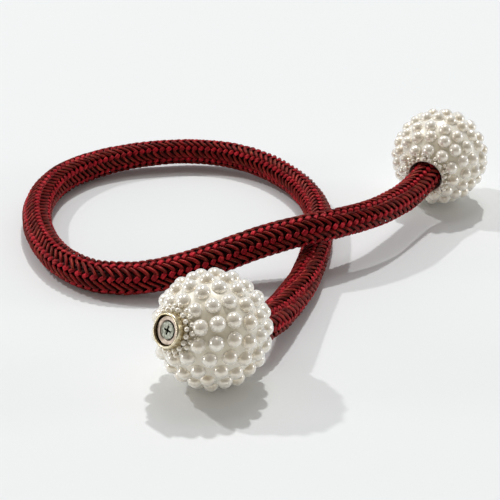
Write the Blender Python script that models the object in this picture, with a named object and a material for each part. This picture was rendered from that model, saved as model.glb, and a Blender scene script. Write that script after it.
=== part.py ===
"""Magnetic curtain tieback: a braided cord with a pearl-set ball and a magnet cup on each end.

Metres, +Z up. The origin is on the floor, at the middle of the box round the two balls.
The cord lies on the floor in a loop, passes over itself once and ends inside both balls.
"""

from math import acos, cos, pi, radians, sin, sqrt

import bmesh
import bpy
from mathutils import Vector

MM = 0.001

# Driving dimensions
GAP = 0.35 * MM                     # clearance between any two pieces
BALL_RADIUS = 17.5 * MM             # out to the tops of the pearls
REST_FLAT_DEPTH = 0.12 * MM         # how much of a ball the floor flat takes off
CORD_RADIUS = 5.0 * MM              # to the high points of the braid
CUP_RADIUS = 5.0 * MM
CUP_WALL = 0.8 * MM
CUP_FLOOR = 1.0 * MM
CUP_HEIGHT = 5.0 * MM
RIM_OUT = 18.4 * MM                 # ball centre to the plane of the cup's rim
RIM_CHAMFER = 0.15 * MM
MAGNET_FACE_OUT = 17.5 * MM         # ball centre to the magnet's face
SCREW_SHANK_RADIUS = 1.25 * MM
SCREW_HEAD_RADIUS = 2.4 * MM
SCREW_TIP_OUT = 9.0 * MM
HEAD_SINK = 0.05 * MM               # screw head below the magnet's face
CROSS_LENGTH = 2.6 * MM
CROSS_WIDTH = 0.6 * MM
CROSS_DEPTH = 1.0 * MM
CUP_END_OUT = 16.2 * MM             # ball centre to the flat round the magnet cup
CORD_END_OUT = 16.0 * MM            # ball centre to the flat round the cord's hole
SOCKET_FLOOR_OUT = 5.0 * MM         # ball centre to the bottom of the cord's socket
LEAD_MID_OUT = 10.7 * MM            # ball centre to halfway along the cord's socket

BALL_ARC_STEPS = 16
TURN_STEPS = 40
CORD_SIDES_RESOLUTION = 4           # twelve sides
CORD_POINTS = 66

# Each end: ball centre on the floor plan, and where its magnet cup faces.
ENDS = {
    "near": {"plan": (-39.5 * MM, -62.0 * MM), "bearing": radians(224), "rise": radians(21)},
    "far": {"plan": (39.5 * MM, 60.9 * MM), "bearing": radians(64), "rise": radians(8)},
}

# The cord's own route between the balls, in millimetres: x, y and the height of its centre.
CORD_ROUTE_MM = [
    (-25.5, -47.2, 10.05),
    (-22.8, -41.6, 8.6),
    (-20.3, -35.5, 7.4),
    (-15.8, -22.9, 5.9),
    (-11.4, -9.2, 5.2),
    (-7.9, 6.3, 5.1),
    (-5.5, 21.5, 5.1),
    (-4.9, 36.5, 5.1),
    (-7.3, 51.7, 5.1),
    (-13.5, 66.5, 5.4),
    (-23.3, 79.3, 5.8),
    (-35.9, 87.9, 6.2),
    (-50.0, 90.7, 6.6),
    (-63.5, 89.5, 6.6),
    (-77.5, 85.9, 6.0),
    (-90.4, 78.0, 5.4),
    (-99.9, 64.5, 5.1),
    (-103.6, 48.1, 5.1),
    (-102.4, 31.5, 5.1),
    (-97.6, 15.6, 5.1),
    (-89.8, 1.7, 5.1),
    (-78.0, -8.1, 5.4),
    (-64.0, -10.8, 6.2),
    (-50.5, -9.0, 8.3),
    (-37.5, -4.8, 11.0),
    (-24.9, -0.1, 13.6),
    (-12.3, 3.7, 15.6),
    (0.5, 9.5, 15.7),
    (13.0, 19.0, 14.9),
    (22.2, 30.7, 13.9),
    (26.8, 37.8, 13.7),
    (29.8, 42.4, 14.3),
]


def clear_scene():
    """Remove whatever the scene holds."""
    for item in list(bpy.data.objects):
        bpy.data.objects.remove(item, do_unlink=True)


def finish(name, hex_colour, roughness, metallic=0.0):
    """A plain material of one sRGB colour."""
    material = bpy.data.materials.new(name)
    material.use_nodes = True
    shader = material.node_tree.nodes["Principled BSDF"]
    channels = [int(hex_colour[i:i + 2], 16) / 255 for i in (1, 3, 5)]
    linear = [c / 12.92 if c <= 0.04045 else ((c + 0.055) / 1.055) ** 2.4 for c in channels]
    shader.inputs["Base Color"].default_value = (*linear, 1.0)
    shader.inputs["Roughness"].default_value = roughness
    shader.inputs["Metallic"].default_value = metallic
    return material


def add_object(name, data, material, parent=None):
    """Put mesh or curve data in the scene as one named object."""
    item = bpy.data.objects.new(name, data)
    data.materials.append(material)
    bpy.context.scene.collection.objects.link(item)
    item.parent = parent
    return item


def turned(name, profile, material, parent):
    """Turn a profile of (radius, height) points about its parent's Z axis into a closed solid.

    A profile that starts and ends on the axis is left open there, and any other is a ring.
    """
    bm = bmesh.new()
    points = [bm.verts.new((radius, 0.0, height)) for radius, height in profile]
    edges = [bm.edges.new(pair) for pair in zip(points, points[1:])]
    if profile[0][0] > 0:
        edges.append(bm.edges.new((points[-1], points[0])))
    bmesh.ops.spin(
        bm, geom=points + edges, cent=(0, 0, 0), axis=(0, 0, 1),
        angle=2 * pi, steps=TURN_STEPS, use_merge=True,
    )
    bmesh.ops.remove_doubles(bm, verts=bm.verts, dist=1e-6)
    bmesh.ops.recalc_face_normals(bm, faces=bm.faces)
    mesh = bpy.data.meshes.new(name)
    bm.to_mesh(mesh)
    bm.free()
    mesh.shade_smooth()
    mesh.set_sharp_from_angle(angle=radians(30))
    return add_object(name, mesh, material, parent)


def box(name, size, location, material, parent=None):
    """A box used only as a cutter."""
    bm = bmesh.new()
    bmesh.ops.create_cube(bm, size=1.0)
    bmesh.ops.scale(bm, vec=size, verts=bm.verts)
    mesh = bpy.data.meshes.new(name)
    bm.to_mesh(mesh)
    bm.free()
    item = add_object(name, mesh, material, parent)
    item.location = location
    item.hide_render = True
    item.display_type = "WIRE"
    return item


def cut(item, cutter):
    """Take a cutter's volume out of an object."""
    modifier = item.modifiers.new("cut_" + cutter.name, "BOOLEAN")
    modifier.operation = "DIFFERENCE"
    modifier.solver = "EXACT"
    modifier.object = cutter


def end_frame(name, end):
    """An empty at a ball's centre whose +Z points out through the magnet cup."""
    frame = bpy.data.objects.new(name, None)
    bpy.context.scene.collection.objects.link(frame)
    frame.location = ball_centre(end)
    frame.rotation_euler = cup_direction(end).to_track_quat("Z", "Y").to_euler()
    return frame


def ball_centre(end):
    """Where a ball's centre is, with the ball resting on its floor flat."""
    return Vector((*end["plan"], BALL_RADIUS - REST_FLAT_DEPTH))


def cup_direction(end):
    """The unit vector from a ball's centre out through its magnet cup."""
    level = cos(end["rise"])
    return Vector((cos(end["bearing"]) * level, sin(end["bearing"]) * level, sin(end["rise"])))


def build_ball(label, frame, material, floor_cutter):
    """The ball, bored for the cup, the screw and the cord, with a flat where it rests."""
    hole_radius = SCREW_SHANK_RADIUS + GAP
    pocket_radius = CUP_RADIUS + GAP
    pocket_floor = RIM_OUT - CUP_HEIGHT - GAP
    socket_radius = CORD_RADIUS + GAP
    first = acos(CUP_END_OUT / BALL_RADIUS)
    last = pi - acos(CORD_END_OUT / BALL_RADIUS)
    angles = [first + (last - first) * i / BALL_ARC_STEPS for i in range(BALL_ARC_STEPS + 1)]
    profile = [
        (0.0, SCREW_TIP_OUT - GAP),
        (hole_radius, SCREW_TIP_OUT - GAP),
        (hole_radius, pocket_floor),
        (pocket_radius, pocket_floor),
        (pocket_radius, CUP_END_OUT),
        *[(BALL_RADIUS * sin(angle), BALL_RADIUS * cos(angle)) for angle in angles],
        (socket_radius, -CORD_END_OUT),
        (socket_radius, -SOCKET_FLOOR_OUT),
        (0.0, -SOCKET_FLOOR_OUT),
    ]
    ball = turned("ball_" + label, profile, material, frame)
    cut(ball, floor_cutter)
    return ball


def build_magnet_cup(label, frame, material):
    """The turned cup that holds the magnet, open outwards, with a hole for the screw."""
    base = RIM_OUT - CUP_HEIGHT
    inner = CUP_RADIUS - CUP_WALL
    hole_radius = SCREW_SHANK_RADIUS + GAP
    profile = [
        (hole_radius, base),
        (CUP_RADIUS - RIM_CHAMFER, base),
        (CUP_RADIUS, base + RIM_CHAMFER),
        (CUP_RADIUS, RIM_OUT - RIM_CHAMFER),
        (CUP_RADIUS - RIM_CHAMFER, RIM_OUT),
        (inner + RIM_CHAMFER, RIM_OUT),
        (inner, RIM_OUT - RIM_CHAMFER),
        (inner, base + CUP_FLOOR),
        (hole_radius, base + CUP_FLOOR),
    ]
    return turned("magnet_cup_" + label, profile, material, frame)


def build_magnet(label, frame, material):
    """The ring magnet, countersunk for the screw's head."""
    radius = CUP_RADIUS - CUP_WALL - GAP
    back = RIM_OUT - CUP_HEIGHT + CUP_FLOOR + GAP
    hole_radius = SCREW_SHANK_RADIUS + GAP
    head_base = MAGNET_FACE_OUT - HEAD_SINK - (SCREW_HEAD_RADIUS - SCREW_SHANK_RADIUS)
    slant_clearance = GAP * sqrt(2) - GAP
    sink_start = head_base - slant_clearance
    sink_radius = hole_radius + MAGNET_FACE_OUT - sink_start
    profile = [
        (hole_radius, back),
        (radius, back),
        (radius, MAGNET_FACE_OUT),
        (sink_radius, MAGNET_FACE_OUT),
        (hole_radius, sink_start),
    ]
    return turned("magnet_" + label, profile, material, frame)


def build_screw(label, frame, material):
    """The countersunk screw with a cross recess in its head."""
    top = MAGNET_FACE_OUT - HEAD_SINK
    profile = [
        (0.0, SCREW_TIP_OUT),
        (SCREW_SHANK_RADIUS, SCREW_TIP_OUT),
        (SCREW_SHANK_RADIUS, top - (SCREW_HEAD_RADIUS - SCREW_SHANK_RADIUS)),
        (SCREW_HEAD_RADIUS, top),
        (0.0, top),
    ]
    screw = turned("screw_" + label, profile, material, frame)
    for arm, size in enumerate(((CROSS_LENGTH, CROSS_WIDTH), (CROSS_WIDTH, CROSS_LENGTH))):
        cutter = box(
            f"cross_{arm}_{label}_cutter", (*size, 2 * CROSS_DEPTH), (0, 0, top), material, frame)
        cut(screw, cutter)
    return screw


def smooth_route(stations, samples_per_span=24):
    """Points on the smooth curve through the stations after the first and before the last."""
    curve = []
    for p0, p1, p2, p3 in zip(stations, stations[1:], stations[2:], stations[3:]):
        for step in range(samples_per_span):
            t = step / samples_per_span
            curve.append(0.5 * (
                2 * p1 + (p2 - p0) * t
                + (2 * p0 - 5 * p1 + 4 * p2 - p3) * t ** 2
                + (3 * p1 - p0 - 3 * p2 + p3) * t ** 3))
    curve.append(stations[-2].copy())
    return curve


def evenly_spaced(curve, count):
    """Read a fine curve again at a number of points an equal way apart."""
    reach = [0.0]
    for start, end in zip(curve, curve[1:]):
        reach.append(reach[-1] + (end - start).length)
    points = []
    span = 0
    for index in range(count):
        target = reach[-1] * index / (count - 1)
        while span < len(curve) - 2 and reach[span + 1] < target:
            span += 1
        share = (target - reach[span]) / (reach[span + 1] - reach[span])
        points.append(curve[span].lerp(curve[span + 1], min(share, 1.0)))
    return points


def cord_stations():
    """The cord's stations: straight out of one ball, along its route and straight into the other."""
    leads = {}
    for label, end in ENDS.items():
        along = -cup_direction(end)
        inner = SOCKET_FLOOR_OUT + GAP + 0.05 * MM
        leads[label] = [
            ball_centre(end) + along * out for out in (0.0, inner, LEAD_MID_OUT, CORD_END_OUT)]
    middle = [Vector(point) * MM for point in CORD_ROUTE_MM]
    return leads["near"] + middle + leads["far"][::-1]


def build_cord(material):
    """The cord as one plain tube of its outer size."""
    data = bpy.data.curves.new("cord", "CURVE")
    data.dimensions = "3D"
    data.bevel_depth = CORD_RADIUS
    data.bevel_resolution = CORD_SIDES_RESOLUTION
    data.use_fill_caps = True
    points = evenly_spaced(smooth_route(cord_stations()), CORD_POINTS)
    spline = data.splines.new("POLY")
    spline.points.add(len(points) - 1)
    for target, point in zip(spline.points, points):
        target.co = (*point, 1.0)
    spline.use_smooth = True
    return add_object("cord", data, material)


def main():
    """Build both ends and the cord between them."""
    clear_scene()
    braid = finish("crimson_braid", "#9C1C2A", 0.55)
    pearl = finish("pearl_beads", "#EFE9DA", 0.25)
    cup_metal = finish("champagne_plate", "#CDBFA4", 0.25, 1.0)
    magnet_metal = finish("nickel_plate", "#B5A6A0", 0.3, 1.0)
    screw_metal = finish("zinc_plate", "#A9ABA2", 0.35, 1.0)

    floor_size = 300 * MM
    floor_cutter = box(
        "floor_cutter", (floor_size, floor_size, floor_size), (0, 0, -floor_size / 2), pearl)
    for label, end in ENDS.items():
        frame = end_frame("end_" + label, end)
        build_ball(label, frame, pearl, floor_cutter)
        build_magnet_cup(label, frame, cup_metal)
        build_magnet(label, frame, magnet_metal)
        build_screw(label, frame, screw_metal)
    build_cord(braid)


if __name__ == "__main__":
    main()
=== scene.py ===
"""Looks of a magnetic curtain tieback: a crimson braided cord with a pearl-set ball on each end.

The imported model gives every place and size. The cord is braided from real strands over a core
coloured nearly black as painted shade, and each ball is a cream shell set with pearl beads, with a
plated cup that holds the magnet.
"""

import logging
from dataclasses import dataclass, field
from enum import Enum
from math import asin, cos, pi, radians, sin, tau
from random import Random
from typing import Any

import bmesh
import bpy
import numpy as np
from mathutils import Matrix, Vector


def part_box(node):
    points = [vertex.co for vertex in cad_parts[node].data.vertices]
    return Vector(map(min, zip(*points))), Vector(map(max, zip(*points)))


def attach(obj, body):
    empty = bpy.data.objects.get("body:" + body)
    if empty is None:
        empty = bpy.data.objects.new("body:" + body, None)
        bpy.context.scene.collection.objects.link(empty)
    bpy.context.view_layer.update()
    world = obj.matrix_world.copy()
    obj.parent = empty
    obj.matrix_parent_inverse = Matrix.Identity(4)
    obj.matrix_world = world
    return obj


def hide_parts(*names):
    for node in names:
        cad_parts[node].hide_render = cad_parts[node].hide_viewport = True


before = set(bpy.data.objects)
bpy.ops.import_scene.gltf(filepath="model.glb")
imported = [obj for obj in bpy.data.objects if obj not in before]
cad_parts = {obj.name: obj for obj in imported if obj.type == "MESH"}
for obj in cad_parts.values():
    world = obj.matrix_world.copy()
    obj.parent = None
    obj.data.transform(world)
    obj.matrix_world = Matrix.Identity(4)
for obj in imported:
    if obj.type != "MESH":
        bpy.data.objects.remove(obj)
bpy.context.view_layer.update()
LOG = logging.getLogger("tieback")

MM = 0.001
SHARP_ANGLE = radians(35)       # an edge sharper than this is not shaded smooth
TURNING_STEPS = 72              # steps round a turned piece

# The cord's own route between the balls, in metres: x, y and the height of its centre.
CORD_ROUTE = [
    (-0.0255, -0.0472, 0.01005),
    (-0.0228, -0.0416, 0.0086),
    (-0.0203, -0.0355, 0.0074),
    (-0.0158, -0.0229, 0.0059),
    (-0.0114, -0.0092, 0.0052),
    (-0.0079, 0.0063, 0.0051),
    (-0.0055, 0.0215, 0.0051),
    (-0.0049, 0.0365, 0.0051),
    (-0.0073, 0.0517, 0.0051),
    (-0.0135, 0.0665, 0.0054),
    (-0.0233, 0.0793, 0.0058),
    (-0.0359, 0.0879, 0.0062),
    (-0.0500, 0.0907, 0.0066),
    (-0.0635, 0.0895, 0.0066),
    (-0.0775, 0.0859, 0.006),
    (-0.0904, 0.0780, 0.0054),
    (-0.0999, 0.0645, 0.0051),
    (-0.1036, 0.0481, 0.0051),
    (-0.1024, 0.0315, 0.0051),
    (-0.0976, 0.0156, 0.0051),
    (-0.0898, 0.0017, 0.0051),
    (-0.0780, -0.0081, 0.0054),
    (-0.0640, -0.0108, 0.0062),
    (-0.0505, -0.0090, 0.0083),
    (-0.0375, -0.0048, 0.011),
    (-0.0249, -0.0001, 0.0136),
    (-0.0123, 0.0037, 0.0156),
    (0.0005, 0.0095, 0.0157),
    (0.0130, 0.0190, 0.0149),
    (0.0222, 0.0307, 0.0139),
    (0.0268, 0.0378, 0.0137),
    (0.0298, 0.0424, 0.0143),
]

# How full the cord lies: length along it in millimetres, and its girth against the plain tube.
FULLNESS = [
    (0, 1.04), (36, 1.06), (60, 1.01), (120, 0.98), (160, 1.0), (188, 0.94), (208, 1.0), (232, 1.08),
    (262, 1.04), (290, 1.01), (330, 1.07), (380, 1.05), (415, 0.98), (440, 1.02), (470, 1.02),
]

# How the braid's columns twist: length along it in millimetres, and the first column's angle.
COLUMN_TWIST = [
    (0, -42), (30, -26), (54, -3), (80, 8), (110, 10), (200, 10), (240, 3), (262, -4), (285, -3),
    (305, 5), (330, 11), (390, 10), (430, 20), (470, 22),
]


# ----------------------------------------------------------------------------------------------
# Small tools


def linear(hex_colour: str) -> tuple[float, float, float, float]:
    """Turn an sRGB hex colour into linear RGBA.

    Args:
        hex_colour: Six hex digits after a hash sign.

    Returns:
        The linear red, green, blue and an alpha of 1.
    """
    channels = [int(hex_colour[i:i + 2], 16) / 255 for i in (1, 3, 5)]
    red, green, blue = (
        c / 12.92 if c <= 0.04045 else ((c + 0.055) / 1.055) ** 2.4 for c in channels)
    return (red, green, blue, 1.0)


def add_node(
    tree: bpy.types.NodeTree, kind: str, inputs: dict[Any, Any] | None = None, **settings: Any,
) -> bpy.types.Node:
    """Add one node with its settings, values and links.

    Args:
        tree: The node tree that gets the node.
        kind: The node's type, such as "ShaderNodeMix".
        inputs: Socket name or number to a value, or to an output socket that it is linked from.
        settings: The node's own properties.

    Returns:
        The new node.
    """
    node = tree.nodes.new(kind)
    for name, value in settings.items():
        setattr(node, name, value)
    fill_sockets(tree, node, inputs or {})
    return node


def fill_sockets(tree: bpy.types.NodeTree, node: bpy.types.Node, inputs: dict[Any, Any]) -> None:
    """Set a node's input sockets.

    Args:
        tree: The node's tree.
        node: The node.
        inputs: Socket name or number to a value, or to an output socket that it is linked from.
    """
    for key, value in inputs.items():
        if isinstance(value, bpy.types.NodeSocket):
            tree.links.new(value, node.inputs[key])
        else:
            node.inputs[key].default_value = value


def new_material(name: str) -> tuple[bpy.types.Material, bpy.types.NodeTree, bpy.types.Node]:
    """Start a material.

    Args:
        name: The material's name.

    Returns:
        The material, its node tree and its shader.
    """
    material = bpy.data.materials.new(name)
    material.use_nodes = True
    tree = material.node_tree
    return material, tree, tree.nodes["Principled BSDF"]


def mesh_object(name: str, bm: bmesh.types.BMesh, place: Matrix | None = None) -> bpy.types.Object:
    """Turn a bmesh into a smooth object at the origin, with its place in its mesh.

    Args:
        name: The piece's name.
        bm: The shape, which is freed.
        place: Where the shape goes in the frame, or None where it already stands.

    Returns:
        The new object, linked to the scene.
    """
    mesh = bpy.data.meshes.new(name)
    bm.to_mesh(mesh)
    bm.free()
    if place is not None:
        mesh.transform(place)
    mesh.shade_smooth()
    mesh.set_sharp_from_angle(angle=SHARP_ANGLE)
    item = bpy.data.objects.new(name, mesh)
    bpy.context.scene.collection.objects.link(item)
    return item


def facing(way: Vector) -> Matrix:
    """The turn that points Z along a direction."""
    return way.to_track_quat("Z", "Y").to_matrix().to_4x4()


def turned(profile: list[tuple[float, float]]) -> bmesh.types.BMesh:
    """Turn a profile about Z into a closed shape.

    Args:
        profile: Radius and height of each point. It starts and ends on the axis, or is a ring.

    Returns:
        The turned shape, with its normals out.
    """
    bm = bmesh.new()
    points = [bm.verts.new((radius, 0.0, height)) for radius, height in profile]
    edges = [bm.edges.new(pair) for pair in zip(points, points[1:])]
    if profile[0][0] > 0:
        edges.append(bm.edges.new((points[-1], points[0])))
    bmesh.ops.spin(
        bm, geom=points + edges, cent=(0, 0, 0), axis=(0, 0, 1), angle=tau, steps=TURNING_STEPS,
        use_merge=True)
    bmesh.ops.remove_doubles(bm, verts=bm.verts, dist=1e-7)
    bmesh.ops.recalc_face_normals(bm, faces=bm.faces)
    return bm


def dress(item: bpy.types.Object, material: bpy.types.Material) -> None:
    """Give a piece its finish in one material slot, and report it.

    Args:
        item: The piece.
        material: Its finish.
    """
    item.data.materials.clear()
    item.data.materials.append(material)
    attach(item, "root")
    LOG.info("%s: %s", item.name, material.name)


def smoothed(marks: list[tuple[float, float]], along: np.ndarray, corner: float) -> np.ndarray:
    """Read a table of lengths and values, with its corners rounded.

    Args:
        marks: Lengths along the cord in millimetres, each with its value.
        along: Lengths along the cord to read at, in metres.
        corner: How far to each side a corner is rounded, in millimetres.

    Returns:
        The value at each length.
    """
    lengths, values = np.array(marks).T
    before, at, after = (np.interp(along / MM + step, lengths, values) for step in (-corner, 0, corner))
    return (before + at + after) / 3


# ----------------------------------------------------------------------------------------------
# Finishes


@dataclass(frozen=True)
class BraidYarn:
    """Dyed polyester filament yarn, plied and braided.

    The filaments lie along each strand, and the brightest are painted in a lighter glint colour:
    a painted highlight that gives a silky line of light. Between the strands the yarn is painted
    nearly black, as painted shade.
    """

    name: str
    ridge: str
    flank: str
    painted_glint: str
    painted_gap_shade: str = "#240505"
    sheen_tint: str = "#FFD6CC"
    roughness: float = 0.46
    lustre: float = 0.32
    filament_mm: float = 0.2
    filament_rise_mm: float = 0.14
    dye_change_mm: float = 2.381
    lit_above_mm: float = 0.3
    dark_below_mm: float = 1.1

    def build(self) -> bpy.types.Material:
        """Make the material from the strand's own coordinates and depth, both in millimetres.

        Returns:
            The yarn's material.
        """
        material, tree, shader = new_material(self.name)
        yarn = add_node(tree, "ShaderNodeAttribute", attribute_name="yarn").outputs["Vector"]
        depth = add_node(tree, "ShaderNodeAttribute", attribute_name="depth").outputs["Fac"]

        # Filaments are long along the strand and thin across it. Single ones are too fine to show,
        # so they are drawn as small bundles.
        stretched = add_node(
            tree, "ShaderNodeVectorMath", {0: yarn, 1: (0.2, 1.0, 1.0)}, operation="MULTIPLY").outputs[0]
        filaments = add_node(
            tree, "ShaderNodeTexNoise",
            {"Vector": stretched, "Scale": 0.5 / self.filament_mm, "Detail": 3.0,
             "Roughness": 0.6}).outputs["Fac"]
        # The brightest filament bundles are painted in the glint colour, a painted highlight.
        painted_glint_mask = add_node(
            tree, "ShaderNodeMapRange",
            {"Value": filaments, "From Min": 0.53, "From Max": 0.72, "To Max": 0.6}).outputs["Result"]

        # The dye changes slowly from strand to strand and along each strand.
        dye = add_node(
            tree, "ShaderNodeTexNoise",
            {"Vector": yarn, "Scale": 1 / self.dye_change_mm, "Detail": 2.0,
             "Roughness": 0.6}).outputs["Fac"]
        dyed = add_node(
            tree, "ShaderNodeMapRange",
            {"Value": dye, "From Min": 0.4, "From Max": 0.62}).outputs["Result"]

        body = add_node(
            tree, "ShaderNodeMix",
            {"Factor": dyed, "A": linear(self.flank), "B": linear(self.ridge)},
            data_type="RGBA").outputs[2]
        lit = add_node(
            tree, "ShaderNodeMix", {"Factor": painted_glint_mask, "A": body, "B": linear(self.painted_glint)},
            data_type="RGBA").outputs[2]
        # Yarn that lies deep below the braid's surface is painted towards the gap colour: painted shade
        # between the strands.
        painted_shade_mask = add_node(
            tree, "ShaderNodeMapRange",
            {"Value": depth, "From Min": self.dark_below_mm, "From Max": self.lit_above_mm},
            interpolation_type="SMOOTHSTEP").outputs["Result"]
        colour = add_node(
            tree, "ShaderNodeMix", {"Factor": painted_shade_mask, "A": linear(self.painted_gap_shade), "B": lit},
            data_type="RGBA").outputs[2]
        bump = add_node(
            tree, "ShaderNodeBump",
            {"Height": filaments, "Strength": 0.7,
             "Distance": self.filament_rise_mm * MM}).outputs["Normal"]
        fill_sockets(tree, shader, {
            "Base Color": colour, "Normal": bump, "Metallic": self.lustre,
            "Roughness": self.roughness, "Specular IOR Level": 0.25,
            "Specular Tint": linear(self.sheen_tint)})
        return material


@dataclass(frozen=True)
class PearlLacquer:
    """Moulded beads dipped in pearl lacquer.

    The mica in the lacquer gives a soft mirror under a thin clear coat. The colour is cream where it
    faces the eye and is painted whiter towards its edge, a painted sheen.
    """

    name: str
    body: str
    warm: str
    painted_rim_sheen: str = "#FFFFFC"
    metallic: float = 0.27
    roughness: float = 0.17
    coat: float = 1.0
    cloud_mm: float = 4.1667

    def build(self) -> bpy.types.Material:
        """Make the material, with a slightly different cream on each bead.

        Returns:
            The lacquer's material.
        """
        material, tree, shader = new_material(self.name)
        tone = add_node(tree, "ShaderNodeAttribute", attribute_name="tone").outputs["Fac"]
        place = add_node(tree, "ShaderNodeTexCoord").outputs["Object"]
        cloud = add_node(
            tree, "ShaderNodeTexNoise",
            {"Vector": place, "Scale": 1 / (self.cloud_mm * MM), "Detail": 2.0}).outputs["Fac"]
        clouded = add_node(
            tree, "ShaderNodeMath", {0: tone, 1: cloud}, operation="MULTIPLY").outputs[0]
        warmth = add_node(
            tree, "ShaderNodeMapRange",
            {"Value": clouded, "From Min": 0.08, "From Max": 0.62}).outputs["Result"]
        cream = add_node(
            tree, "ShaderNodeMix", {"Factor": warmth, "A": linear(self.body), "B": linear(self.warm)},
            data_type="RGBA").outputs[2]
        # Pearl lacquer looks whiter where the eye meets it at a slant; here the base colour is painted
        # whiter there, a painted sheen.
        slant = add_node(tree, "ShaderNodeLayerWeight", {"Blend": 0.5}).outputs["Facing"]
        colour = add_node(
            tree, "ShaderNodeMix", {"Factor": slant, "A": cream, "B": linear(self.painted_rim_sheen)},
            data_type="RGBA").outputs[2]
        fill_sockets(tree, shader, {
            "Base Color": colour, "Metallic": self.metallic, "Roughness": self.roughness,
            "Coat Weight": self.coat, "Coat Roughness": 0.05})
        return material


@dataclass(frozen=True)
class PlatedMetal:
    """Turned or pressed steel with a thin plating.

    Handling leaves faint scuffs, which are a little darker and duller than the plating round them.
    """

    name: str
    colour: str
    worn: str
    roughness: float
    scuff_mm: float = 1.6
    scuff_depth_mm: float = 0.05

    def build(self) -> bpy.types.Material:
        """Make the material.

        Returns:
            The plating's material.
        """
        material, tree, shader = new_material(self.name)
        place = add_node(tree, "ShaderNodeTexCoord").outputs["Object"]
        scuffs = add_node(
            tree, "ShaderNodeTexNoise",
            {"Vector": place, "Scale": 1 / (self.scuff_mm * MM), "Detail": 2.0}).outputs["Fac"]
        clean = add_node(
            tree, "ShaderNodeMapRange",
            {"Value": scuffs, "From Min": 0.38, "From Max": 0.6}).outputs["Result"]
        colour = add_node(
            tree, "ShaderNodeMix", {"Factor": clean, "A": linear(self.worn), "B": linear(self.colour)},
            data_type="RGBA").outputs[2]
        rough = add_node(
            tree, "ShaderNodeMapRange",
            {"Value": scuffs, "From Min": 0.3, "From Max": 0.7,
             "To Min": self.roughness + 0.12, "To Max": self.roughness}).outputs["Result"]
        bump = add_node(
            tree, "ShaderNodeBump",
            {"Height": scuffs, "Strength": 0.08, "Distance": self.scuff_depth_mm * MM}).outputs["Normal"]
        fill_sockets(tree, shader, {
            "Base Color": colour, "Roughness": rough, "Normal": bump, "Metallic": 1.0})
        return material


@dataclass(frozen=True)
class MattBoard:
    """A matt painted board: plain, pale and without a pattern."""

    name: str
    colour: str

    def build(self) -> bpy.types.Material:
        """Make the material.

        Returns:
            The board's material.
        """
        material, tree, shader = new_material(self.name)
        fill_sockets(tree, shader, {
            "Base Color": linear(self.colour), "Roughness": 0.85, "Specular IOR Level": 0.1})
        return material


# ----------------------------------------------------------------------------------------------
# The ends' places


class End(Enum):
    """The tieback's two ends."""

    NEAR = "near"
    FAR = "far"


@dataclass
class EndPlace:
    """Where one ball is and which way its magnet cup faces."""

    end: End
    centre: Vector = field(init=False)
    axis: Vector = field(init=False)

    def __post_init__(self) -> None:
        """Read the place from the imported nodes."""
        low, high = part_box("ball_" + self.end.value)
        reach = (high[0] - low[0]) / 2
        # The ball has a flat underneath, so its centre is measured down from its top.
        self.centre = Vector(((low[0] + high[0]) / 2, (low[1] + high[1]) / 2, high[2] - reach))
        low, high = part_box("magnet_cup_" + self.end.value)
        self.axis = ((Vector(low) + Vector(high)) / 2 - self.centre).normalized()

    def matrix(self) -> Matrix:
        """The place as a matrix whose Z points out through the cup."""
        return Matrix.Translation(self.centre) @ facing(self.axis)


# ----------------------------------------------------------------------------------------------
# The cord


class Lay(Enum):
    """Which way a set of strands winds round the cord."""

    RIGHT = 1
    LEFT = -1


@dataclass(frozen=True)
class StrandSize:
    """Half the width and half the height of one set's flat strands, in metres."""

    half_width: float
    half_height: float


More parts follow.
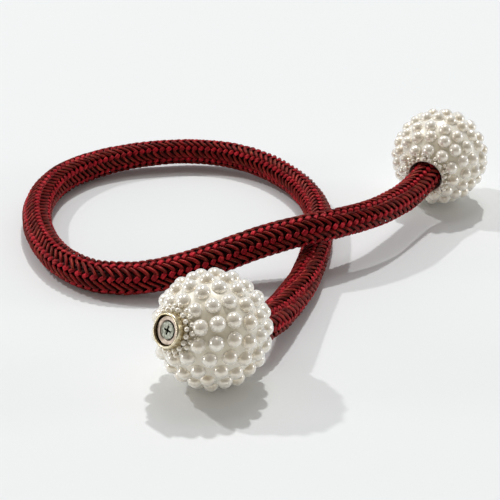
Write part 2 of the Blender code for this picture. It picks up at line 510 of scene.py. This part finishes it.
@dataclass
class BraidedCord:
    """The braided cord: two sets of strands that wind opposite ways and pass over and under."""

    near: EndPlace
    far: EndPlace
    radius: float = 5.0 * MM
    inner_out: float = 5.4 * MM
    mid_out: float = 10.7 * MM
    mouth_out: float = 16.0 * MM
    floor_gap: float = 0.1 * MM
    curve_steps: int = 24
    strands: int = 12
    lead: float = 31.2 * MM
    columns: int = 6
    narrow_half: float = radians(9.5)
    turn_over: float = radians(11)
    sizes: dict[Lay, StrandSize] = field(default_factory=lambda: {
        Lay.RIGHT: StrandSize(0.56 * MM, 0.52 * MM), Lay.LEFT: StrandSize(0.78 * MM, 0.42 * MM)})
    dive: float = 1.15 * MM
    hook: float = 0.3 * MM
    unevenness: float = 0.07 * MM
    width_change: float = 0.12
    rings_per_float: int = 10
    sides: int = 8
    core_radius: float = 3.3 * MM
    core_step: float = 4.0 * MM
    tube_spacing: float = 10.0
    points: np.ndarray = field(init=False)
    reach: np.ndarray = field(init=False)

    def __post_init__(self) -> None:
        """Work out the cord's centreline."""
        stations = []
        for place, back in ((self.near, False), (self.far, True)):
            outs = (0.0, self.inner_out, self.mid_out, self.mouth_out)
            lead = [place.centre - place.axis * out for out in outs]
            stations.append(lead[::-1] if back else lead)
        route = stations[0] + [Vector(point) for point in CORD_ROUTE] + stations[1]
        curve = []
        for p0, p1, p2, p3 in zip(route, route[1:], route[2:], route[3:]):
            for step in range(self.curve_steps):
                t = step / self.curve_steps
                curve.append(0.5 * (
                    2 * p1 + (p2 - p0) * t
                    + (2 * p0 - 5 * p1 + 4 * p2 - p3) * t ** 2
                    + (3 * p1 - p0 - 3 * p2 + p3) * t ** 3))
        curve.append(route[-2].copy())
        self.points = np.array(curve)
        steps = np.linalg.norm(np.diff(self.points, axis=0), axis=1)
        self.reach = np.concatenate([[0.0], np.cumsum(steps)])
        # A fuller stretch lies on the floor too, so its centre is higher.
        lying = self.girth(self.reach) + self.floor_gap
        self.points[:, 2] = np.maximum(self.points[:, 2], lying)

    @property
    def length(self) -> float:
        """The centreline's whole length, in metres."""
        return float(self.reach[-1])

    def at(self, along: np.ndarray) -> np.ndarray:
        """The centreline's points at some lengths along it."""
        return np.stack([np.interp(along, self.reach, self.points[:, k]) for k in range(3)], axis=1)

    def girth(self, along: np.ndarray) -> np.ndarray:
        """The cord's radius at some lengths along it, in metres."""
        return self.radius * smoothed(FULLNESS, along, 6)

    def first_column(self, along: np.ndarray) -> np.ndarray:
        """The angle of the first narrow column round the cord, in radians."""
        return np.radians(smoothed(COLUMN_TWIST, along, 8))

    def frames(self, along: np.ndarray) -> tuple[np.ndarray, ...]:
        """The cord's own directions at some lengths along it.

        Args:
            along: Lengths along the centreline, in metres.

        Returns:
            The centre points, and the directions forward, up and to the right of the cord.
        """
        span = 2.0 * MM     # half the stretch that a direction is read over
        forward = self.at(np.minimum(along + span, self.length)) - self.at(np.maximum(along - span, 0))
        forward /= np.linalg.norm(forward, axis=1)[:, None]
        right = np.cross(forward, (0.0, 0.0, 1.0))
        right /= np.linalg.norm(right, axis=1)[:, None]
        return self.at(along), forward, np.cross(right, forward), right

    def straight_strands(self) -> bpy.types.Mesh:
        """Make straight unit tubes side by side, one for each strand of a set.

        Returns:
            A mesh whose X is the length along the cord and whose Y and Z hold the tube's round. Each
            tube stands one tube spacing further along Z.
        """
        rings = round(self.length / self.lead * self.columns * self.rings_per_float)
        bm = bmesh.new()
        bmesh.ops.create_cone(
            bm, cap_ends=True, segments=self.sides, radius1=1.0, radius2=1.0, depth=self.length,
            matrix=Matrix.Translation((self.length / 2, 0, 0)) @ Matrix.Rotation(pi / 2, 4, "Y"))
        long_edges = [e for e in bm.edges if abs(e.verts[0].co.x - e.verts[1].co.x) > self.length / 2]
        bmesh.ops.subdivide_edges(bm, edges=long_edges, cuts=rings, use_grid_fill=True)
        tube = list(bm.verts) + list(bm.edges) + list(bm.faces)
        for strand in range(1, self.strands):
            copied = bmesh.ops.duplicate(bm, geom=tube)["geom"]
            moved = [part for part in copied if isinstance(part, bmesh.types.BMVert)]
            bmesh.ops.translate(bm, verts=moved, vec=(0, 0, self.tube_spacing * strand))
        mesh = bpy.data.meshes.new("straight_strands")
        bm.to_mesh(mesh)
        bm.free()
        return mesh

    def height(self, angle: np.ndarray, lay: Lay) -> np.ndarray:
        """How far one set's strands stand out at some angles round the cord.

        Args:
            angle: Angles from the first narrow column, in radians.
            lay: Which set of strands.

        Returns:
            0 where the set passes under and 1 where it passes over.
        """
        pitch = tau / self.columns
        off = np.abs((angle + pitch / 2) % pitch - pitch / 2)
        rise = np.clip((off - self.narrow_half) / self.turn_over + 0.5, 0, 1)
        rise = rise * rise * (3 - 2 * rise)
        return rise if lay is Lay.RIGHT else 1 - rise

    def strand_surface(self, along: np.ndarray, strand: np.ndarray) -> np.ndarray:
        """How far out the braid's surface is, a little unevenly from strand to strand.

        Args:
            along: Lengths along the centreline, in metres.
            strand: The strand's number at each length.

        Returns:
            The distance from the centreline, in metres.
        """
        # Short waves, each strand's its own, that drift along the cord so that they never repeat.
        drift = 5 * np.sin(tau * along / (61 * MM))
        return self.girth(along) + self.unevenness * np.sin(
            tau * along / (7.3 * MM) + 2.4 * strand + drift)

    def lay_strands(self, name: str, lay: Lay, material: bpy.types.Material) -> bpy.types.Object:
        """Wind one set of strands round the cord.

        Args:
            name: The piece's name.
            lay: Which way the set winds.
            material: The yarn's finish.

        Returns:
            The piece.
        """
        mesh = self.straight_strands()
        flat = np.empty(len(mesh.vertices) * 3, np.float32)
        mesh.vertices.foreach_get("co", flat)
        along, across, out = flat.reshape(-1, 3).astype(float).T
        strand = np.round(out / self.tube_spacing)
        out = out - self.tube_spacing * strand
        turn = lay.value * tau * along / self.lead + tau * strand / self.strands
        from_column = turn - self.first_column(along)
        over = self.height(from_column, lay)
        along = np.clip(along - self.hook * np.cos(self.columns * from_column), 0, self.length)

        # The set dives where it passes under, and its strands are never all the same width.
        size = self.sizes[lay]
        surface = self.strand_surface(along, strand)
        half_width = size.half_width * (
            1 + self.width_change * np.sin(tau * along / (11.9 * MM) + 1.7 * strand))
        centre = surface - size.half_height - self.dive * (1 - over)

        points, forward, up, right = self.frames(along)
        outward = up * np.cos(turn)[:, None] + right * np.sin(turn)[:, None]
        around = right * np.cos(turn)[:, None] - up * np.sin(turn)[:, None]
        way = forward + around * (lay.value * tau * centre / self.lead)[:, None]
        way /= np.linalg.norm(way, axis=1)[:, None]
        side = np.cross(way, outward)
        placed = (
            points + outward * (centre + out * size.half_height)[:, None]
            + side * (across * half_width)[:, None])
        mesh.vertices.foreach_set("co", placed.astype(np.float32).ravel())

        # The finish reads each strand's own coordinates and its depth, in millimetres. The offsets
        # keep neighbouring strands and the two sets from sharing one pattern.
        yarn = np.stack([
            along / MM, across * 0.7 + strand * 7.3, out * 0.6 + lay.value * 31.0], axis=1)
        depth = (surface - centre - out * size.half_height) / MM
        mesh.attributes.new("yarn", "FLOAT_VECTOR", "POINT").data.foreach_set(
            "vector", yarn.astype(np.float32).ravel())
        mesh.attributes.new("depth", "FLOAT", "POINT").data.foreach_set(
            "value", depth.astype(np.float32))
        mesh.update()
        bm = bmesh.new()
        bm.from_mesh(mesh)
        bmesh.ops.recalc_face_normals(bm, faces=bm.faces)
        piece = mesh_object(name, bm)
        bpy.data.meshes.remove(mesh)
        dress(piece, material)
        return piece

    def core(self, material: bpy.types.Material) -> bpy.types.Object:
        """Lay the filling under the strands, as one tube along the centreline.

        Args:
            material: The filling's finish.

        Returns:
            The piece.
        """
        data = bpy.data.curves.new("cord_core", "CURVE")
        data.dimensions = "3D"
        data.bevel_depth = self.core_radius
        data.bevel_resolution = 3
        data.use_fill_caps = True
        line = self.at(np.linspace(0, self.length, round(self.length / self.core_step)))
        spline = data.splines.new("POLY")
        spline.points.add(len(line) - 1)
        for target, point in zip(spline.points, line):
            target.co = (*point, 1.0)
        spline.use_smooth = True
        piece = bpy.data.objects.new("cord_core", data)
        bpy.context.scene.collection.objects.link(piece)
        dress(piece, material)
        return piece

    def build(self) -> None:
        # Both sets are one yarn: the short floats' brighter crimson is painted sheen, for the way their
        # filaments face the light. Each set's glint colour is a painted highlight.
        long_floats = BraidYarn("long_float_yarn", ridge="#8E171B", flank="#560C0E", painted_glint="#B8603E")
        short_floats = BraidYarn("short_float_yarn_painted_sheen", ridge="#B41829", flank="#820F1A", painted_glint="#D04C44")
        # The filling is coloured nearly black: painted shade for the deep gaps between the strands.
        filling = BraidYarn("filling_yarn_painted_shade", ridge="#200405", flank="#180304", painted_glint="#2A0606")
        long_set = self.lay_strands("cord_long_floats", Lay.RIGHT, long_floats.build())
        short_set = self.lay_strands("cord_short_floats", Lay.LEFT, short_floats.build())
        core = self.core(filling.build())
        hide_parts("cord")
        LOG.info("cord: %.1f mm of braid, %d strands", self.length / MM, 2 * self.strands)


# ----------------------------------------------------------------------------------------------
# The pearl balls


@dataclass(frozen=True)
class BeadRow:
    """One ring of beads round the ball's axis: its angle from the magnet cup and its first bead's turn."""

    polar: float
    count: int
    turn: float


@dataclass(frozen=True)
class SeedRing:
    """One ring of seed beads: its name, its row, how far out it sits and how unevenly."""

    name: str
    row: BeadRow
    out: float
    scatter: float


# Each ball's rows of pearls, from its magnet cup to its cord's hole. The two balls differ a little.
PEARL_ROWS = {
    End.NEAR: (
        BeadRow(31.5, 10, 26.0), BeadRow(50.0, 14, 3.0), BeadRow(67.5, 17, 11.0),
        BeadRow(86.0, 19, 9.0), BeadRow(104.5, 18, 14.0), BeadRow(122.5, 17, 0.0),
        BeadRow(140.0, 13, 0.0)),
    End.FAR: (
        BeadRow(32.0, 10, 8.0), BeadRow(50.5, 14, 3.0), BeadRow(69.0, 18, 11.0),
        BeadRow(87.5, 21, 1.0), BeadRow(108.5, 18, 3.0), BeadRow(124.7, 16, 21.0),
        BeadRow(143.0, 11, 25.0)),
}

# Two rings of seeds stand round the cup and two round the cord's hole.
SEED_RINGS = (
    SeedRing("cup_seeds_", BeadRow(20.1, 18, 4.0), 17.1 * MM, 0.12 * MM),
    SeedRing("outer_seeds_", BeadRow(24.8, 19, 14.0), 16.4 * MM, 0.3 * MM),
    SeedRing("cord_seeds_", BeadRow(154.6, 21, 0.0), 16.5 * MM, 0.25 * MM),
    SeedRing("side_seeds_", BeadRow(150.0, 24, 7.0), 16.1 * MM, 0.3 * MM),
)


@dataclass
class PearlBall:
    """A ball set with pearl beads, with smaller seed beads round its cup and its cord hole."""

    place: EndPlace
    seed: int
    reach: float = 17.42 * MM
    pearl_radius: float = 2.35 * MM
    pearl_scatter: float = 0.16 * MM
    pearl_steps: tuple[int, int] = (14, 10)
    seed_radius: float = 0.78 * MM
    seed_steps: tuple[int, int] = (10, 7)
    bead_sizes: tuple[float, float] = (0.96, 1.02)
    shell_radius: float = 15.4 * MM
    shell_steps: int = 40
    cup_pocket: float = 5.2 * MM
    pocket_floor: float = 9.0 * MM
    cord_hole: float = 6.0 * MM
    hole_margin: float = 1.2 * MM
    collar_width: float = 0.7 * MM
    collar_out: float = 15.3 * MM
    socket_floor: float = 6.0 * MM
    shell_tone: float = 0.8

    def shell(self, material: bpy.types.Material) -> bpy.types.Object:
        """Turn the pearly shell that the beads are set in, open for the cup and the cord.

        Args:
            material: The shell's finish.

        Returns:
            The piece.
        """
        first = asin(self.cup_pocket / self.shell_radius)
        last = pi - asin((self.cord_hole + self.hole_margin) / self.shell_radius)
        profile = [(0.0, self.pocket_floor), (self.cup_pocket, self.pocket_floor)]
        for step in range(self.shell_steps + 1):
            angle = first + (last - first) * step / self.shell_steps
            profile.append((self.shell_radius * sin(angle), self.shell_radius * cos(angle)))
        # A small round collar stands round the cord's hole.
        profile += [
            (self.cord_hole + self.collar_width, -(self.collar_out - 0.4 * MM)),
            (self.cord_hole + self.collar_width / 2, -self.collar_out),
            (self.cord_hole, -(self.collar_out - 0.2 * MM)),
            (self.cord_hole, -self.socket_floor),
            (0.0, -self.socket_floor)]
        piece = mesh_object("ball_shell_" + self.place.end.value, turned(profile), self.place.matrix())
        tone = piece.data.attributes.new("tone", "FLOAT", "POINT")
        tone.data.foreach_set("value", [self.shell_tone] * len(piece.data.vertices))
        dress(piece, material)
        return piece

    def beads(
        self, name: str, rows: tuple[BeadRow, ...], radius: float, out: float, scatter: float,
        steps: tuple[int, int], material: bpy.types.Material,
    ) -> bpy.types.Object:
        """Set rows of beads on the ball as one piece.

        Args:
            name: The piece's name.
            rows: The rings of beads.
            radius: A bead's radius.
            out: How far a bead's centre is from the ball's.
            scatter: How unevenly the beads sit, in metres.
            steps: A bead's steps round and from pole to pole.
            material: The beads' finish.

        Returns:
            The piece.
        """
        dice = Random(self.seed)
        bm = bmesh.new()
        tone = bm.verts.layers.float.new("tone")
        for row in rows:
            for index in range(row.count):
                angle = radians(row.turn) + tau * index / row.count
                angle += dice.uniform(-1, 1) * scatter / (out * sin(radians(row.polar)))
                polar = radians(row.polar) + dice.uniform(-1, 1) * scatter / out
                size = radius * dice.uniform(*self.bead_sizes)
                spot = Vector((sin(polar) * cos(angle), sin(polar) * sin(angle), cos(polar)))
                bead = bmesh.ops.create_uvsphere(
                    bm, u_segments=steps[0], v_segments=steps[1], radius=size,
                    matrix=Matrix.Translation(spot * out) @ facing(spot))
                shade = dice.random()
                for vert in bead["verts"]:
                    vert[tone] = shade
        piece = mesh_object(name, bm, self.place.matrix())
        dress(piece, material)
        return piece

    def build(self, pearl: bpy.types.Material, skin: bpy.types.Material) -> None:
        """Make the shell, the pearls and the seed beads.

        Args:
            pearl: The beads' finish.
            skin: The shell's finish.
        """
        label = self.place.end.value
        rows = PEARL_ROWS[self.place.end]
        pieces = [self.shell(skin)]
        pieces.append(self.beads(
            "pearls_" + label, rows, self.pearl_radius, self.reach - self.pearl_radius,
            self.pearl_scatter, self.pearl_steps, pearl))
        for ring in SEED_RINGS:
            pieces.append(self.beads(
                ring.name + label, (ring.row,), self.seed_radius, ring.out, ring.scatter,
                self.seed_steps, pearl))
        for piece in pieces:
            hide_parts("ball_" + label)
        LOG.info("ball_%s: %d pearls", label, sum(row.count for row in rows))


@dataclass
class MagnetCup:
    """The plated cup with its ring magnet and countersunk screw."""

    place: EndPlace
    radius: float = 5.0 * MM
    wall: float = 0.68 * MM
    rim_out: float = 18.4 * MM
    base_out: float = 13.4 * MM
    floor: float = 1.0 * MM
    hole: float = 1.6 * MM
    rim_round: float = 0.5 * MM
    outer_steps: int = 8
    inner_steps: int = 4

    def cup_profile(self) -> list[tuple[float, float]]:
        """The cup's wall and floor in section.

        Returns:
            Radius and height of each point, from the ball's centre.
        """
        inner = self.radius - self.wall
        lip = self.wall - self.rim_round
        inside = self.base_out + self.floor
        profile = [
            (inner, inside), (self.hole, inside), (self.hole, self.base_out),
            (self.radius, self.base_out)]
        # A wide round outside and a tight one inside leave a thin bright lip between them.
        for step in range(self.outer_steps + 1):
            turn = pi / 2 * step / self.outer_steps
            profile.append((
                self.radius - self.rim_round * (1 - cos(turn)),
                self.rim_out - self.rim_round * (1 - sin(turn))))
        for step in range(1, self.inner_steps + 1):
            turn = pi / 2 * step / self.inner_steps
            profile.append((inner + lip * (1 - sin(turn)), self.rim_out - lip * (1 - cos(turn))))
        return profile

    def build(
        self, plate: bpy.types.Material, magnet: bpy.types.Material, screw: bpy.types.Material,
    ) -> None:
        """Make the cup with its rounded rim, and dress the magnet and the screw.

        Args:
            plate: The cup's finish.
            magnet: The magnet's finish.
            screw: The screw's finish.
        """
        label = self.place.end.value
        cup = mesh_object("cup_" + label, turned(self.cup_profile()), self.place.matrix())
        dress(cup, plate)
        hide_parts("magnet_cup_" + label)
        for node, material in (("magnet_" + label, magnet), ("screw_" + label, screw)):
            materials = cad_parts[node].data.materials
            materials.clear()
            materials.append(material)
            LOG.info("%s: %s", node, material.name)


# ----------------------------------------------------------------------------------------------
# The studio


@dataclass(frozen=True)
class DiscLamp:
    """A white disc lamp, with its angles in degrees, its sizes in metres and its power in watts."""

    name: str
    bearing: float
    rise: float
    distance: float
    diameter: float
    power: float

    def build(self, middle: Vector) -> None:
        """Hang the lamp so that it faces the object.

        Args:
            middle: The point that it faces.
        """
        data = bpy.data.lights.new(self.name, "AREA")
        data.shape = "DISK"
        data.size = self.diameter
        data.energy = self.power
        item = bpy.data.objects.new(self.name, data)
        bearing, rise = radians(self.bearing), radians(self.rise)
        way = Vector((cos(bearing) * cos(rise), sin(bearing) * cos(rise), sin(rise)))
        item.location = middle + way * self.distance
        item.rotation_euler = way.to_track_quat("Z", "Y").to_euler()
        bpy.context.scene.collection.objects.link(item)


@dataclass
class Studio:
    """A pale board, two small lamps far behind, three faint soft boxes, a pale room and the camera."""

    middle: tuple[float, float, float] = (0.0, 0.0, 10 * MM)
    board_half: float = 4.0
    board_drop: float = 0.05 * MM
    room_light: float = 0.59
    towards_camera: tuple[float, float, float] = (-0.07, -0.977, 0.2)
    camera_place: tuple[float, float, float] = (-28.9 * MM, -388.4 * MM, 209.4 * MM)
    camera_down: float = radians(27.115)
    camera_lens: float = 97.2
    camera_film: float = 36.0
    lamps: tuple[DiscLamp, ...] = (
        DiscLamp("lamp_behind", 80.5, 63, 8.0, 0.32, 241),
        DiscLamp("lamp_left_behind", 152, 46, 8.0, 0.32, 178),
        DiscLamp("soft_box_above", 85, 80, 1.5, 0.5, 1.9),
        DiscLamp("soft_box_right", 2, 12, 1.2, 0.35, 2.2),
        DiscLamp("soft_box_left", 186, 10, 1.2, 0.35, 2.2),
    )

    def room(self) -> None:
        """Light the room: pale all round, and dim and warm where the camera stands."""
        world = bpy.data.worlds.new("room")
        world.use_nodes = True
        tree = world.node_tree
        way = add_node(tree, "ShaderNodeTexCoord").outputs["Generated"]
        towards = add_node(
            tree, "ShaderNodeVectorMath", {0: way, 1: self.towards_camera},
            operation="DOT_PRODUCT").outputs["Value"]
        shades = add_node(tree, "ShaderNodeValToRGB", {"Fac": towards})
        wall_colours = ((0.0, "#DFE2E7"), (0.2, "#C4C4C4"), (0.55, "#B2ABA2"), (0.85, "#91887E"))
        elements = shades.color_ramp.elements
        while len(elements) < len(wall_colours):
            elements.new(1.0)
        for element, (position, colour) in zip(elements, wall_colours):
            element.position = position
            element.color = linear(colour)
        fill_sockets(tree, tree.nodes["Background"], {
            "Color": shades.outputs["Color"], "Strength": self.room_light})
        bpy.context.scene.world = world

    def board(self) -> None:
        """Lay the pale board that the tieback lies on."""
        bm = bmesh.new()
        bmesh.ops.create_grid(
            bm, x_segments=2, y_segments=2, size=self.board_half,
            matrix=Matrix.Translation((0, 0, -self.board_drop)))
        floor = mesh_object("floor", bm)
        floor.data.materials.append(MattBoard("matt_board", "#EFF1F1").build())

    def camera(self) -> None:
        """Set up the camera, looking down on the near ball's side."""
        data = bpy.data.cameras.new("camera")
        data.sensor_width = self.camera_film
        data.lens = self.camera_lens
        item = bpy.data.objects.new("camera", data)
        item.location = self.camera_place
        item.rotation_euler = (pi / 2 - self.camera_down, 0.0, 0.0)
        bpy.context.scene.collection.objects.link(item)
        bpy.context.scene.camera = item

    def build(self) -> None:
        """Set up the room, the board, the lamps and the camera."""
        bpy.context.scene.view_settings.view_transform = "Standard"
        self.room()
        self.board()
        for lamp in self.lamps:
            lamp.build(Vector(self.middle))
        self.camera()


def main() -> None:
    """Build the tieback's looks and the studio round it."""
    logging.basicConfig(level=logging.INFO, format="%(name)s: %(message)s")
    places = {end: EndPlace(end) for end in End}
    Studio().build()
    BraidedCord(places[End.NEAR], places[End.FAR]).build()

    # The beads are glossy; the shell between them is duller and only faintly pearly.
    pearl = PearlLacquer("pearl_lacquer", body="#FEF6E6", warm="#F5E7CE").build()
    skin = PearlLacquer(
        "pearl_shell", body="#F7EFDC", warm="#EBE0C5", metallic=0.06, roughness=0.35, coat=0.3).build()
    # The cup is bright and pale gold, the magnet a dull warm grey, the screw darker and speckled.
    plate = PlatedMetal("champagne_plate", "#E8DEC4", "#CDBF9C", 0.2).build()
    magnet = PlatedMetal("nickel_plate", "#BEB0A2", "#AC9D8F", 0.42).build()
    screw = PlatedMetal("zinc_plate", "#93958A", "#6A6C60", 0.34, scuff_mm=0.7).build()
    for number, place in enumerate(places.values()):
        PearlBall(place, seed=11 + number).build(pearl, skin)
        MagnetCup(place).build(plate, magnet, screw)


if __name__ == "__main__":
    main()
